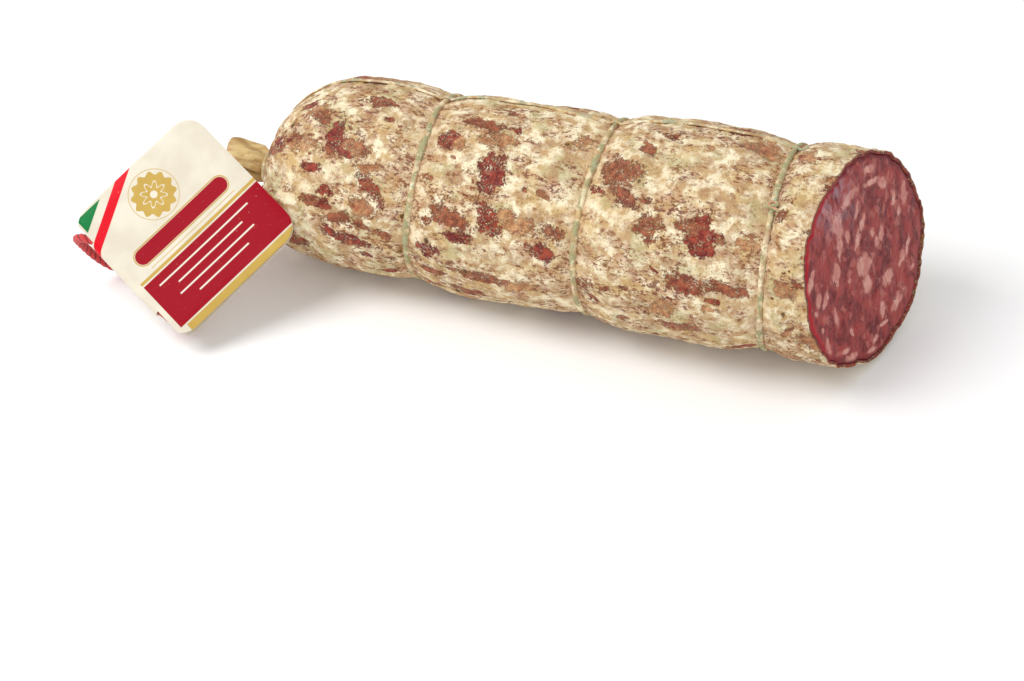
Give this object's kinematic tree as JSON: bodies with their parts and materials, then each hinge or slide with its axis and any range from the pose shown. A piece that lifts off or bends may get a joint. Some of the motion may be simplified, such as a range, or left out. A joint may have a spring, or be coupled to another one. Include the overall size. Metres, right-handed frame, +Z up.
{
  "type": "cured sausage",
  "caption": "Dry-cured sausage in a mould-covered natural casing, trussed with twine and cut at one end, with a folded card label on a hanging loop.",
  "frame": {"origin": "on the surface the sausage lies on, under the middle of the box round the sausage with its ties and tail, without the hanging loop and its label", "axes": "+X along the sausage from the tied neck to the cut, +Z up, the cut turned towards -Y"},
  "size_m": [0.2462, 0.0973, 0.0651],
  "materials": {
    "cured_meat": "moist",
    "mould_casing": "powdery matt",
    "twine": "matt",
    "loop_cord": "matt",
    "label_card": "satin"
  },
  "bodies": {
    "root": {"filling": "cured_meat", "casing": "mould_casing", "girth_tie_1": "twine", "girth_tie_2": "twine", "girth_tie_3": "twine", "lengthwise_tie": "twine", "neck_tie": "twine", "hanging_loop": "loop_cord", "label": "label_card"}
  },
  "joints": []
}
